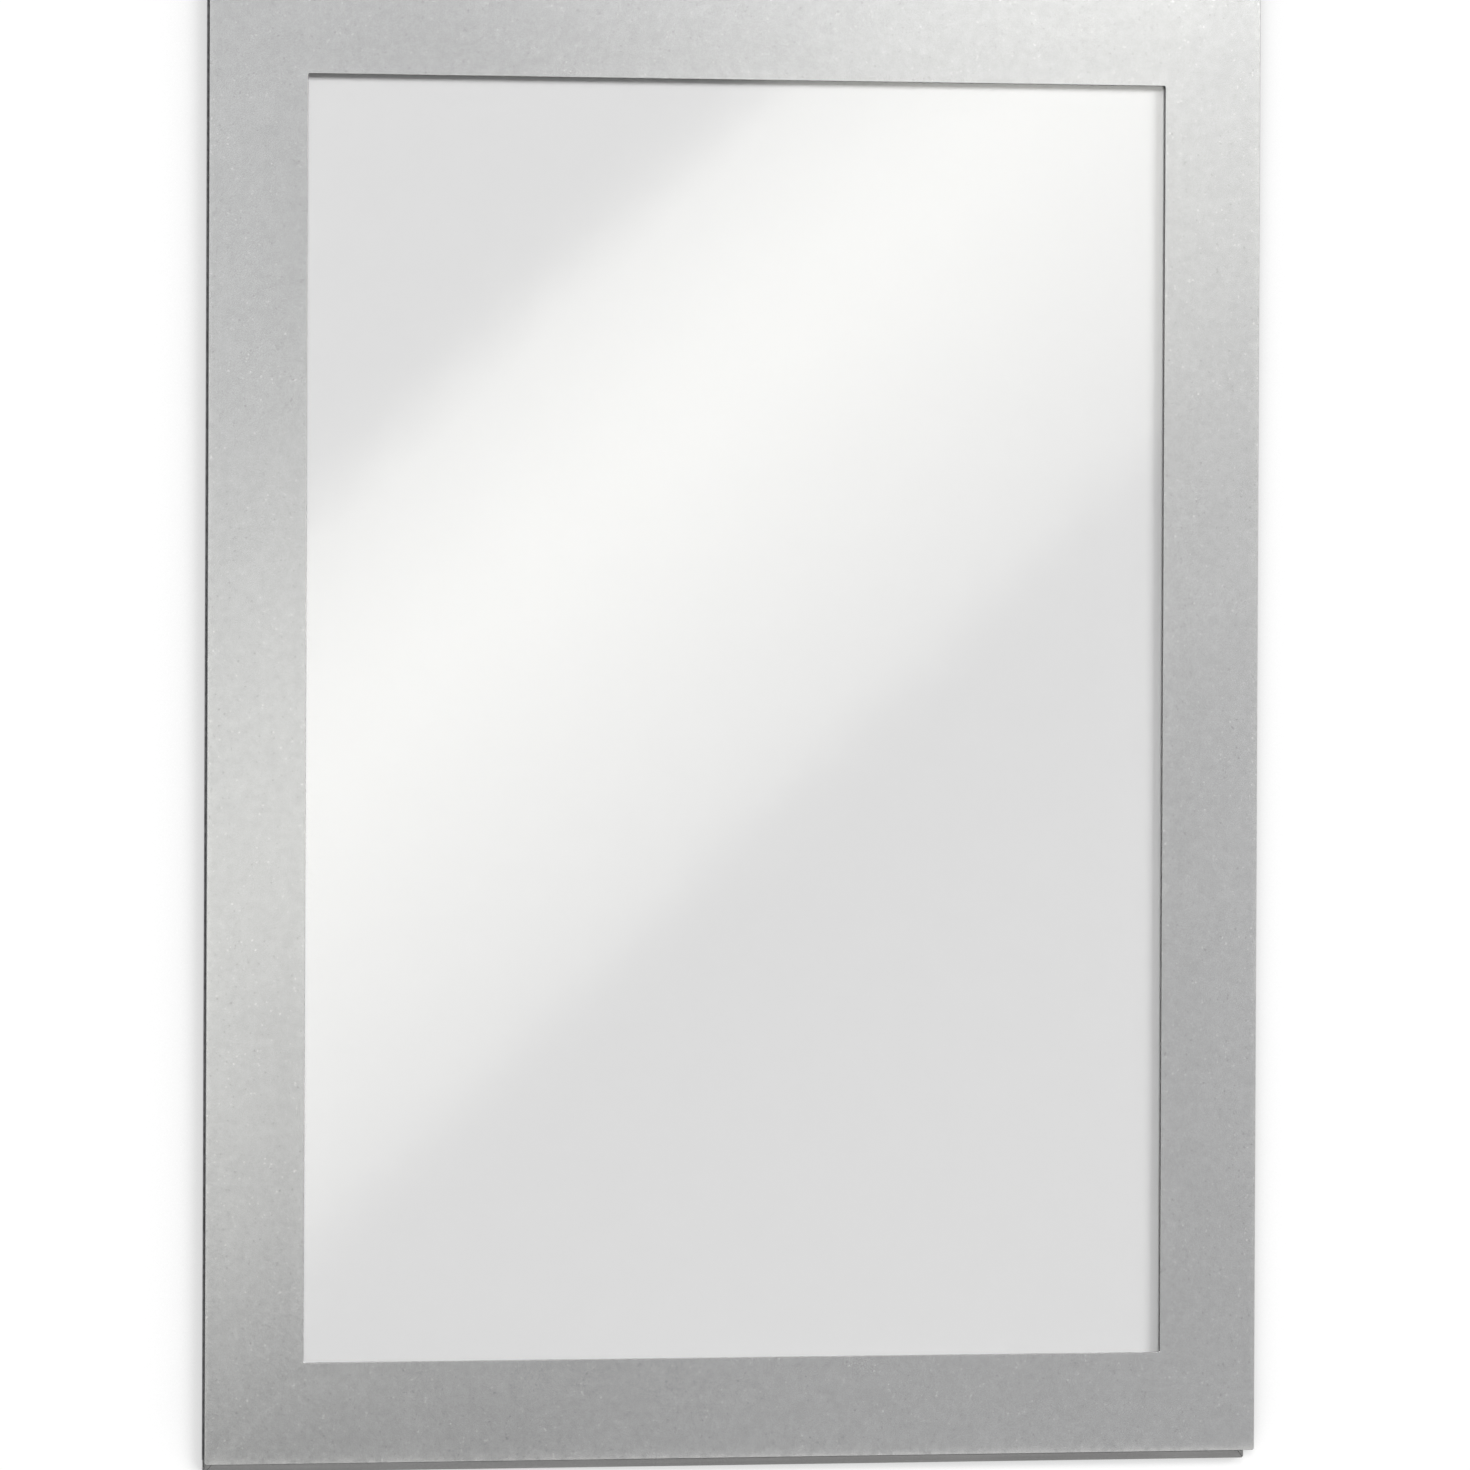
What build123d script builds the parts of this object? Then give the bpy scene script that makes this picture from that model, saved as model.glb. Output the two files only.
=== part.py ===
"""Fold-open magnetic display frame for one A5 print, in millimetres.

The back face lies in the plane y = 0 and sticks to a steel surface. The front faces -Y, +X is to the
right and +Z is up. The origin is on the back face, at the middle of the print. Every layer is placed by
its depth, which is its distance in front of the back face.
"""

import os

from build123d import *

# Print that the frame holds, A5
PRINT_WIDTH = 148.0
PRINT_HEIGHT = 210.0
PRINT_THICKNESS = 0.2

# Room round the print, and the strip of it that the front frame covers
PRINT_CLEARANCE = 0.5
WINDOW_OVERLAP = 3.0

# Magnet strips, which make the tray for the print
REAR_MAGNET_WIDTH = 12.5
MITRE_SHORTFALL = 0.05

# Silver face film: the lip it has past the other layers at the right, and how far it sits above them
LIFT_LIP = 1.8
FACE_RAISE = 1.2

# Corners and edges of the cut films
CORNER_RADIUS = 0.4
WINDOW_CORNER_RADIUS = 0.3
FACE_EDGE_ROUND = 0.08

# Layers, from the back face to the front
BACK_SHEET_THICKNESS = 0.2
BOND_TAPE_THICKNESS = 0.08
REAR_MAGNET_THICKNESS = 0.5
WINDOW_FILM_THICKNESS = 0.15
FRONT_MAGNET_THICKNESS = 0.35
FACE_FILM_THICKNESS = 0.12

# Double-sided bond tape, set back from the edges of the magnets
BOND_TAPE_MARGIN = 1.5
BOND_TAPE_END_GAP = 1.0

# Hinge tape, folded double along the left edge
HINGE_TAPE_THICKNESS = 0.08
HINGE_LEAF_WIDTH = 9.0
HINGE_LEAF_GAP = 0.06
HINGE_STANDOFF = 0.15
HINGE_END_MARGIN = 2.0

SIDES = ("top", "bottom", "left", "right")

# Outlines as left, right, bottom, top
HALF_WIDTH = PRINT_WIDTH / 2 + PRINT_CLEARANCE + REAR_MAGNET_WIDTH
HALF_HEIGHT = PRINT_HEIGHT / 2 + PRINT_CLEARANCE + REAR_MAGNET_WIDTH
TRAY_HALF_WIDTH = PRINT_WIDTH / 2 + PRINT_CLEARANCE
TRAY_HALF_HEIGHT = PRINT_HEIGHT / 2 + PRINT_CLEARANCE
WINDOW_HALF_WIDTH = PRINT_WIDTH / 2 - WINDOW_OVERLAP
WINDOW_HALF_HEIGHT = PRINT_HEIGHT / 2 - WINDOW_OVERLAP
FACE_OUTLINE = (-HALF_WIDTH, HALF_WIDTH, -HALF_HEIGHT, HALF_HEIGHT)
BODY_OUTLINE = (-HALF_WIDTH, HALF_WIDTH - LIFT_LIP, -HALF_HEIGHT - FACE_RAISE, HALF_HEIGHT - FACE_RAISE)
TRAY_OUTLINE = (-TRAY_HALF_WIDTH, TRAY_HALF_WIDTH, -TRAY_HALF_HEIGHT, TRAY_HALF_HEIGHT)
WINDOW_OUTLINE = (-WINDOW_HALF_WIDTH, WINDOW_HALF_WIDTH, -WINDOW_HALF_HEIGHT, WINDOW_HALF_HEIGHT)

# Depth at which each layer starts
PRINT_DEPTH = BACK_SHEET_THICKNESS
REAR_TAPE_DEPTH = BACK_SHEET_THICKNESS
REAR_MAGNET_DEPTH = REAR_TAPE_DEPTH + BOND_TAPE_THICKNESS
HINGE_DEPTH = REAR_MAGNET_DEPTH + REAR_MAGNET_THICKNESS
WINDOW_FILM_DEPTH = HINGE_DEPTH + 2 * HINGE_TAPE_THICKNESS + HINGE_LEAF_GAP
FRONT_TAPE_DEPTH = WINDOW_FILM_DEPTH + WINDOW_FILM_THICKNESS
FRONT_MAGNET_DEPTH = FRONT_TAPE_DEPTH + BOND_TAPE_THICKNESS
FACE_FILM_DEPTH = FRONT_MAGNET_DEPTH + FRONT_MAGNET_THICKNESS

# Axis that the front frame swings about, at the middle of the tape's fold
HINGE_AXIS_X = -HALF_WIDTH - HINGE_STANDOFF
HINGE_AXIS_DEPTH = (HINGE_DEPTH + WINDOW_FILM_DEPTH) / 2


def layer_plane(depth):
    """Plane of a layer, seen from the front, at a depth in front of the back face."""
    return Plane.XZ.offset(depth)


def middle(outline):
    """Centre of an outline, on a layer plane."""
    left, right, bottom, top = outline
    return ((left + right) / 2, (bottom + top) / 2)


def width(outline):
    """Width of an outline."""
    return outline[1] - outline[0]


def height(outline):
    """Height of an outline."""
    return outline[3] - outline[2]


def mitred_strip(side, outer, inner):
    """Corners of one of the four strips between two outlines, cut to a mitre at both ends."""
    left, right, bottom, top = outer
    in_left, in_right, in_bottom, in_top = inner
    cut = MITRE_SHORTFALL
    corners = {
        "top": ((left + cut, top), (right - cut, top), (in_right - cut, in_top), (in_left + cut, in_top)),
        "bottom": (
            (left + cut, bottom),
            (right - cut, bottom),
            (in_right - cut, in_bottom),
            (in_left + cut, in_bottom),
        ),
        "left": (
            (left, bottom + cut),
            (left, top - cut),
            (in_left, in_top - cut),
            (in_left, in_bottom + cut),
        ),
        "right": (
            (right, bottom + cut),
            (right, top - cut),
            (in_right, in_top - cut),
            (in_right, in_bottom + cut),
        ),
    }
    return corners[side]


def tape_strip(side, outer, inner):
    """Outline of the bond tape on one strip: square ends, top and bottom tapes running past the others."""
    left, right, bottom, top = outer
    in_left, in_right, in_bottom, in_top = inner
    margin = BOND_TAPE_MARGIN
    low = in_bottom - margin + BOND_TAPE_END_GAP
    high = in_top + margin - BOND_TAPE_END_GAP
    outlines = {
        "top": (left + margin, right - margin, in_top + margin, top - margin),
        "bottom": (left + margin, right - margin, bottom + margin, in_bottom - margin),
        "left": (left + margin, in_left - margin, low, high),
        "right": (in_right + margin, right - margin, low, high),
    }
    return outlines[side]


os.makedirs("parts", exist_ok=True)

# Back panel: clear sheet, bond tapes, magnets that frame the tray, and the print in it
with BuildPart() as back_sheet:
    with BuildSketch(layer_plane(0)):
        with Locations(middle(BODY_OUTLINE)):
            RectangleRounded(width(BODY_OUTLINE), height(BODY_OUTLINE), CORNER_RADIUS)
    extrude(amount=BACK_SHEET_THICKNESS)
back_sheet.part.label = "back_sheet"
export_step(back_sheet.part, "parts/back_sheet.step")

for side in SIDES:
    rear_tape_outline = tape_strip(side, BODY_OUTLINE, TRAY_OUTLINE)
    with BuildPart() as rear_tape:
        with BuildSketch(layer_plane(REAR_TAPE_DEPTH)):
            with Locations(middle(rear_tape_outline)):
                Rectangle(width(rear_tape_outline), height(rear_tape_outline))
        extrude(amount=BOND_TAPE_THICKNESS)
    rear_tape.part.label = f"rear_tape_{side}"
    export_step(rear_tape.part, f"parts/rear_tape_{side}.step")

for side in SIDES:
    with BuildPart() as rear_magnet:
        with BuildSketch(layer_plane(REAR_MAGNET_DEPTH)):
            with Locations(middle(BODY_OUTLINE)):
                RectangleRounded(width(BODY_OUTLINE), height(BODY_OUTLINE), CORNER_RADIUS)
            with BuildLine():
                Polyline(*mitred_strip(side, BODY_OUTLINE, TRAY_OUTLINE), close=True)
            make_face(mode=Mode.INTERSECT)
        extrude(amount=REAR_MAGNET_THICKNESS)
    rear_magnet.part.label = f"rear_magnet_{side}"
    export_step(rear_magnet.part, f"parts/rear_magnet_{side}.step")

# The print stands on the bottom magnet, so its side clearance opens above it
with BuildPart() as print_sheet:
    with BuildSketch(layer_plane(PRINT_DEPTH)):
        with Locations((0, -PRINT_CLEARANCE)):
            Rectangle(PRINT_WIDTH, PRINT_HEIGHT)
    extrude(amount=PRINT_THICKNESS)
print_sheet.part.label = "print_sheet"
export_step(print_sheet.part, "parts/print_sheet.step")

# Hinge tape: one leaf on the left rear magnet, a half-round fold, one leaf on the window film
back_leaf_depth = HINGE_DEPTH + HINGE_TAPE_THICKNESS / 2
front_leaf_depth = WINDOW_FILM_DEPTH - HINGE_TAPE_THICKNESS / 2
leaf_end_x = -HALF_WIDTH + HINGE_LEAF_WIDTH
fold_radius = (HINGE_TAPE_THICKNESS + HINGE_LEAF_GAP) / 2
with BuildPart() as hinge_tape:
    with BuildSketch(Plane.XY.offset(BODY_OUTLINE[2] + HINGE_END_MARGIN)):
        with BuildLine():
            Line((leaf_end_x, -back_leaf_depth), (HINGE_AXIS_X, -back_leaf_depth))
            CenterArc((HINGE_AXIS_X, -HINGE_AXIS_DEPTH), fold_radius, 90, 180)
            Line((HINGE_AXIS_X, -front_leaf_depth), (leaf_end_x, -front_leaf_depth))
        trace(line_width=HINGE_TAPE_THICKNESS)
    extrude(amount=height(BODY_OUTLINE) - 2 * HINGE_END_MARGIN)
hinge_tape.part.label = "hinge_tape"
export_step(hinge_tape.part, "parts/hinge_tape.step")

# Front frame: clear window film, bond tapes, magnets and the silver face film
with BuildPart() as window_film:
    with BuildSketch(layer_plane(WINDOW_FILM_DEPTH)):
        with Locations(middle(BODY_OUTLINE)):
            RectangleRounded(width(BODY_OUTLINE), height(BODY_OUTLINE), CORNER_RADIUS)
    extrude(amount=WINDOW_FILM_THICKNESS)
window_film.part.label = "window_film"
export_step(window_film.part, "parts/window_film.step")

for side in SIDES:
    front_tape_outline = tape_strip(side, BODY_OUTLINE, WINDOW_OUTLINE)
    with BuildPart() as front_tape:
        with BuildSketch(layer_plane(FRONT_TAPE_DEPTH)):
            with Locations(middle(front_tape_outline)):
                Rectangle(width(front_tape_outline), height(front_tape_outline))
        extrude(amount=BOND_TAPE_THICKNESS)
    front_tape.part.label = f"front_tape_{side}"
    export_step(front_tape.part, f"parts/front_tape_{side}.step")

for side in SIDES:
    with BuildPart() as front_magnet:
        with BuildSketch(layer_plane(FRONT_MAGNET_DEPTH)):
            with Locations(middle(BODY_OUTLINE)):
                RectangleRounded(width(BODY_OUTLINE), height(BODY_OUTLINE), CORNER_RADIUS)
            with BuildLine():
                Polyline(*mitred_strip(side, BODY_OUTLINE, WINDOW_OUTLINE), close=True)
            make_face(mode=Mode.INTERSECT)
        extrude(amount=FRONT_MAGNET_THICKNESS)
    front_magnet.part.label = f"front_magnet_{side}"
    export_step(front_magnet.part, f"parts/front_magnet_{side}.step")

with BuildPart() as face_film:
    with BuildSketch(layer_plane(FACE_FILM_DEPTH)):
        RectangleRounded(width(FACE_OUTLINE), height(FACE_OUTLINE), CORNER_RADIUS)
        RectangleRounded(
            width(WINDOW_OUTLINE), height(WINDOW_OUTLINE), WINDOW_CORNER_RADIUS, mode=Mode.SUBTRACT
        )
    extrude(amount=FACE_FILM_THICKNESS)
    fillet(face_film.faces().sort_by(Axis.Y)[0].edges(), radius=FACE_EDGE_ROUND)
face_film.part.label = "face_film"
export_step(face_film.part, "parts/face_film.step")
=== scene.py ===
"""Looks of the fold-open magnetic frame: silver border, clear films, magnets, film hinge and print."""

import logging
import math
from dataclasses import dataclass
from enum import Enum
from typing import NamedTuple

import bpy
import numpy as np
from mathutils import Matrix, Vector


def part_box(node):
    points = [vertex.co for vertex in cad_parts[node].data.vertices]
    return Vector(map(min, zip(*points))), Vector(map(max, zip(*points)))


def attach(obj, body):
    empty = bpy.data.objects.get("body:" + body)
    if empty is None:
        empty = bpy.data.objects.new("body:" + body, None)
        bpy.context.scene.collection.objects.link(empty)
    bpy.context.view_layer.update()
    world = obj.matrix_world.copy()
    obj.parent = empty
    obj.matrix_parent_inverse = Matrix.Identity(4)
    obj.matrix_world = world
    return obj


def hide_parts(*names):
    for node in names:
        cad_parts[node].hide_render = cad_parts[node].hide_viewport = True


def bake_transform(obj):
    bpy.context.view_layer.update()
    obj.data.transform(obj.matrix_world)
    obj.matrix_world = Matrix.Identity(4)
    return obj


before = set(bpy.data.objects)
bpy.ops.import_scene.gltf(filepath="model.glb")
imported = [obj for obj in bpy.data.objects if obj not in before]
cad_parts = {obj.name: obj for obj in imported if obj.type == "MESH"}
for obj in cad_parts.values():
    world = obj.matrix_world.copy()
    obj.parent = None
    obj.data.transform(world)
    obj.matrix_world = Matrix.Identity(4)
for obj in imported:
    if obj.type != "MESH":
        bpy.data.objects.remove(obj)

LOG = logging.getLogger("magnetic_frame")
MM = 0.001
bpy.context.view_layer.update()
SHARP_ANGLE = math.radians(50.0)

Socket = bpy.types.NodeSocket
Colour = tuple[float, float, float]
Point = tuple[float, float, float]
Span = tuple[float, float]

WHOLE: Span = (0.0, 1.0)
EVEN: Point = (1.0, 1.0, 1.0)

# Numbers of the Mix node's sockets for colours, because their names repeat
MIX_SHARE, MIX_FIRST, MIX_SECOND, MIX_RESULT = 0, 6, 7, 2


class Body(Enum):
    """The two halves of the frame, by the names of their CAD bodies."""

    BACK = "back_panel"
    FRONT = "front_frame"


class Slot(Enum):
    """Material slots of the record."""

    SILVER = "silver_film"
    CLEAR = "clear_film"
    MAGNET = "magnet_rubber"
    BOND = "bond_tape"
    HINGE = "hinge_film"
    PAPER = "print_paper"


class Run(Enum):
    """The way a strip runs, as the stretch of the streaks that rolling left along it."""

    LEVEL = (0.02, 1.0, 1.0)
    UPRIGHT = (1.0, 1.0, 0.02)


class Side(Enum):
    """Sides of the frame and the way their strips run."""

    TOP = ("top", Run.LEVEL)
    BOTTOM = ("bottom", Run.LEVEL)
    LEFT = ("left", Run.UPRIGHT)
    RIGHT = ("right", Run.UPRIGHT)


class Marks(NamedTuple):
    """Marks of a grain or of streaks: how many for each metre, and how far their shade swings."""

    scale: float
    contrast: float


class Patches(NamedTuple):
    """Smudged patches: how many for each metre, and how many finer ones break them up."""

    scale: float
    fineness: float


class ShaderNodes:
    """Writes nodes and links into the tree of a material, a world or a node group."""

    def __init__(self, tree: bpy.types.NodeTree) -> None:
        """Keep the tree that is written to."""
        self.tree = tree

    @classmethod
    def fresh(cls, owner: bpy.types.Material | bpy.types.World) -> "ShaderNodes":
        """Open an empty tree.

        Args:
            owner: the material or world that the tree is for.

        Returns:
            The writer.
        """
        owner.use_nodes = True
        owner.node_tree.nodes.clear()
        return cls(owner.node_tree)

    def feed(self, socket: Socket, value: object) -> None:
        """Set an input socket.

        Args:
            socket: the input.
            value: another node's output to link, or a constant; a colour has three parts.
        """
        if isinstance(value, Socket):
            self.tree.links.new(value, socket)
        else:
            socket.default_value = (*value, 1.0) if socket.type == "RGBA" else value

    def add(
        self, kind: str, inputs: dict[str | int, object] | None = None, **settings: object,
    ) -> bpy.types.Node:
        """Add one node.

        Args:
            kind: Blender's name of the node type, less ShaderNode.
            inputs: input sockets by name or number, with what feeds them.
            settings: the node's own properties.

        Returns:
            The new node.
        """
        node = self.tree.nodes.new("ShaderNode" + kind)
        for name, value in settings.items():
            setattr(node, name, value)
        for name, value in (inputs or {}).items():
            self.feed(node.inputs[name], value)
        return node

    def combine(self, kind: str, *terms: object, **settings: object) -> Socket:
        """Add a node whose inputs are fed in their order, and give its first output."""
        return self.add(kind, dict(enumerate(terms)), **settings).outputs[0]

    def math(self, operation: str, *terms: object) -> Socket:
        """Combine values by one of Blender's math operations."""
        return self.combine("Math", *terms, operation=operation)

    def vector(self, operation: str, *terms: object) -> Socket:
        """Combine vectors by one of Blender's vector operations."""
        return self.combine("VectorMath", *terms, operation=operation)

    def place(self, group: bpy.types.NodeTree, *terms: object) -> bpy.types.Node:
        """Place a node group, with what feeds its inputs in their order."""
        return self.add("Group", dict(enumerate(terms)), node_tree=group)

    def principled(self, inputs: dict[str, object]) -> Socket:
        """The main shader of a finish, with what feeds its inputs by name."""
        return self.add("BsdfPrincipled", inputs).outputs["BSDF"]

    def remap(self, value: Socket, span: Span, to: Span) -> Socket:
        """Stretch a value from one span to another, smoothly and clamped."""
        inputs = dict(zip(("Value", "From Min", "From Max", "To Min", "To Max"), (value, *span, *to)))
        return self.add("MapRange", inputs, interpolation_type="SMOOTHSTEP").outputs["Result"]

    def tint(self, factor: object, first: object, second: object, mode: str = "MIX") -> Socket:
        """Mix two colours, by the share of the second one and Blender's name of the way of mixing."""
        inputs = {MIX_SHARE: factor, MIX_FIRST: first, MIX_SECOND: second}
        return self.add("Mix", inputs, data_type="RGBA", blend_type=mode).outputs[MIX_RESULT]

    def shade(self, colour: object, value: Socket) -> Socket:
        """Multiply a colour by a value."""
        grey = self.add("CombineColor", {"Red": value, "Green": value, "Blue": value})
        return self.tint(1.0, colour, grey.outputs["Color"], "MULTIPLY")

    def bump(self, height: Socket, depth: float) -> Socket:
        """Turn a height from 0 to 1, which stands for a depth in metres, into a normal."""
        return self.add("Bump", {"Height": height, "Distance": depth}).outputs["Normal"]

    def coords(self) -> Socket:
        """The piece's own coordinates, in metres."""
        return self.add("TexCoord").outputs["Object"]

    def carried(self, name: str) -> Socket:
        """A value that the piece's mesh carries at each point."""
        return self.add("Attribute", attribute_name=name).outputs["Fac"]

    def cells(self, vector: Socket, scale: float) -> Socket:
        """A random colour in each of so many small cells for a metre."""
        return self.add("TexVoronoi", {"Vector": vector, "Scale": scale}).outputs["Color"]

    def noise(self, vector: Socket, scale: Socket, detail: float, rough: float = 0.5) -> Socket:
        """A cloud of values from 0 to 1, with so many finer layers and a share of each."""
        inputs = {"Vector": vector, "Scale": scale, "Detail": detail, "Roughness": rough}
        return self.add("TexNoise", inputs).outputs["Fac"]


class SurfaceGroups:
    """Effects that several finishes share, each a node group that is built once."""

    def __init__(self) -> None:
        """Build the four groups."""
        self.grain = self._marks("fine_grain", detail=3.0, rough=0.65)
        self.streaks = self._marks("roll_streaks", detail=2.0, rough=0.6)
        self.smudges = self._smudges()
        self.rim_marks_and_highlight = self._rim_marks_and_highlight()

    @staticmethod
    def _start(
        name: str, inputs: dict[str, str], outputs: tuple[str, ...],
    ) -> tuple[ShaderNodes, dict[str, Socket], dict[str, Socket]]:
        """Open a group with named sockets.

        Args:
            name: the group's name.
            inputs: kinds of its inputs, Float or Vector, by name.
            outputs: names of its values.

        Returns:
            The writer, the input sockets by name and the output sockets by name.
        """
        tree = bpy.data.node_groups.new(name, "ShaderNodeTree")
        for socket, kind in inputs.items():
            tree.interface.new_socket(name=socket, in_out="INPUT", socket_type="NodeSocket" + kind)
        for socket in outputs:
            tree.interface.new_socket(name=socket, in_out="OUTPUT", socket_type="NodeSocketFloat")
        entry = tree.nodes.new("NodeGroupInput")
        leave = tree.nodes.new("NodeGroupOutput")
        given = {socket: entry.outputs[socket] for socket in inputs}
        taken = {socket: leave.inputs[socket] for socket in outputs}
        return ShaderNodes(tree), given, taken

    def _marks(self, name: str, detail: float, rough: float) -> bpy.types.NodeTree:
        """Grain, or streaks left by rolling: noise drawn out by a stretch, as a shade about 1 and a height.

        Args:
            name: the group's name.
            detail: finer layers of the noise.
            rough: share of each finer layer.

        Returns:
            The group's tree.
        """
        inputs = {"Vector": "Vector", "Stretch": "Vector", "Scale": "Float", "Contrast": "Float"}
        nodes, given, taken = self._start(name, inputs, ("Shade", "Height"))
        drawn = nodes.vector("MULTIPLY", given["Vector"], given["Stretch"])
        cloud = nodes.noise(drawn, given["Scale"], detail, rough)
        swing = nodes.math("MULTIPLY", nodes.math("SUBTRACT", cloud, 0.5), given["Contrast"])
        nodes.feed(taken["Shade"], nodes.math("ADD", swing, 1.0))
        nodes.feed(taken["Height"], cloud)
        return nodes.tree

    def _smudges(self) -> bpy.types.NodeTree:
        """Patches left by hands and by pressing on: broad clouds broken up by finer ones.

        Returns:
            The group's tree.
        """
        inputs = {"Vector": "Vector", "Scale": "Float", "Fineness": "Float"}
        nodes, given, taken = self._start("smudges", inputs, ("Mask",))
        broad = nodes.noise(given["Vector"], given["Scale"], detail=2.0)
        fine = nodes.noise(given["Vector"], given["Fineness"], detail=3.0, rough=0.6)
        patch = nodes.remap(broad, span=(0.48, 0.72), to=WHOLE)
        speck = nodes.remap(fine, span=(0.3, 0.7), to=(0.3, 1.0))
        nodes.feed(taken["Mask"], nodes.math("MULTIPLY", patch, speck))
        return nodes.tree

    def _rim_marks_and_highlight(self) -> bpy.types.NodeTree:
        """Wear along an edge or a fold, and on the silver also a painted highlight along its lower outside
        edge: the piece's own rim value, broken up by noise.

        Returns:
            The group's tree.
        """
        inputs = {"Vector": "Vector", "Rim": "Float", "Scale": "Float"}
        nodes, given, taken = self._start("rim_marks_and_highlight", inputs, ("Mask",))
        cloud = nodes.noise(given["Vector"], given["Scale"], detail=3.0)
        broken = nodes.remap(cloud, span=(0.32, 0.62), to=(0.35, 1.0))
        nodes.feed(taken["Mask"], nodes.math("MULTIPLY", given["Rim"], broken))
        return nodes.tree


@dataclass(frozen=True)
class Finish:
    """What every finish has: its name, its slot and the groups it draws on.

    In all finishes a scale counts marks for each metre, and a relief is a depth in metres.
    """

    name: str
    slot: Slot
    groups: SurfaceGroups

    def material(self) -> bpy.types.Material:
        """Make the material once.

        Returns:
            The material.
        """
        known = bpy.data.materials.get(self.name)
        if known is not None:
            return known
        material = bpy.data.materials.new(self.name)
        nodes = ShaderNodes.fresh(material)
        nodes.add("OutputMaterial", {"Surface": self.paint(nodes)})
        return material

    def paint(self, nodes: ShaderNodes) -> Socket:
        """Write the shader, which each finish does in its own way."""
        raise NotImplementedError(self.name)

    def dress(self, piece: bpy.types.Object) -> None:
        """Put the finish on a piece.

        Args:
            piece: the piece.
        """
        for place in piece.material_slots:
            place.material = self.material()
        if not piece.material_slots:
            piece.data.materials.append(self.material())


@dataclass(frozen=True)
class SilverFilm(Finish):
    """Satin vinyl film with fine metal flakes under a clear top coat."""

    colour: Colour = (0.286, 0.288, 0.29)
    bright_flake: Colour = (0.42, 0.42, 0.416)
    dull_flake: Colour = (0.19, 0.19, 0.192)
    # lighter colour of the rim: rubbing along the edges, plus a painted highlight along the lower outside
    # edge
    rub_and_highlight_colour: Colour = (0.4, 0.4, 0.395)
    flake_scale: float = 4200.0
    flake_shade: Span = (0.985, 1.015)
    bright_draw: Span = (0.988, 1.0)
    dull_draw: Span = (0.988, 0.996)
    flake_tilt: float = 0.008
    powder_scale: float = 70000.0
    level_share: float = 0.66
    grain: Marks = Marks(900.0, 0.33)
    relief: float = 0.000001
    cloud: Marks = Marks(45.0, 0.05)
    smudge: Patches = Patches(26.0, 420.0)
    smudge_haze: float = 0.04
    rub_and_highlight_scale: float = 900.0
    rub_and_highlight_share: float = 0.6
    metallic: float = 0.6
    level_roughness: float = 0.12
    loose_roughness: float = 0.3
    coat: float = 1.0
    coat_roughness: float = 0.14

    def paint(self, nodes: ShaderNodes) -> Socket:
        """Grey flakes of uneven brightness and tilt, a few of them bright or dull, a rubbed rim and a
        painted lower-edge highlight.

        Each flake draws three random numbers, for its shade, for being bright and for being dull, and leans
        by what they are off a half. A finer powder lies level or loose, which mixes a narrow sheen with a
        broad one.

        Args:
            nodes: the writer.

        Returns:
            The shader's socket.
        """
        where = nodes.coords()
        flakes = nodes.cells(where, self.flake_scale)
        drawn = nodes.add("SeparateColor", {"Color": flakes}).outputs
        grain = nodes.place(self.groups.grain, where, EVEN, *self.grain)
        cloud = nodes.place(self.groups.grain, where, EVEN, *self.cloud)
        mottle = nodes.math("MULTIPLY", grain.outputs["Shade"], cloud.outputs["Shade"])
        uneven = nodes.remap(drawn["Red"], WHOLE, self.flake_shade)
        base = nodes.shade(self.colour, nodes.math("MULTIPLY", uneven, mottle))
        base = nodes.tint(nodes.remap(drawn["Green"], self.bright_draw, WHOLE), base, self.bright_flake)
        base = nodes.tint(nodes.remap(drawn["Blue"], self.dull_draw, WHOLE), base, self.dull_flake)
        # rim lightening: rubbed along the edges, plus a painted highlight along the lower outside edge
        rub_and_highlight = nodes.place(self.groups.rim_marks_and_highlight, where, nodes.carried("rim"), self.rub_and_highlight_scale)
        base = nodes.tint(nodes.math("MULTIPLY", rub_and_highlight.outputs["Mask"], self.rub_and_highlight_share), base, self.rub_and_highlight_colour)
        powder = nodes.cells(where, self.powder_scale)
        chance = nodes.add("SeparateColor", {"Color": powder}).outputs["Red"]
        loose = nodes.math("GREATER_THAN", chance, self.level_share)
        spread = nodes.math("MULTIPLY", loose, self.loose_roughness - self.level_roughness)
        smudge = nodes.place(self.groups.smudges, where, *self.smudge)
        haze = nodes.math("MULTIPLY", smudge.outputs["Mask"], self.smudge_haze)
        rough = nodes.math("ADD", nodes.math("ADD", haze, spread), self.level_roughness)
        lean = nodes.vector("SUBTRACT", flakes, (0.5, 0.5, 0.5))
        lean = nodes.vector("MULTIPLY", lean, (self.flake_tilt,) * 3)
        lying = nodes.vector("ADD", nodes.bump(grain.outputs["Height"], self.relief), lean)
        return nodes.principled({
            "Base Color": base,
            "Metallic": self.metallic,
            "Roughness": rough,
            "Normal": nodes.vector("NORMALIZE", lying),
            "Coat Weight": self.coat,
            "Coat Roughness": self.coat_roughness,
        })


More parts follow.
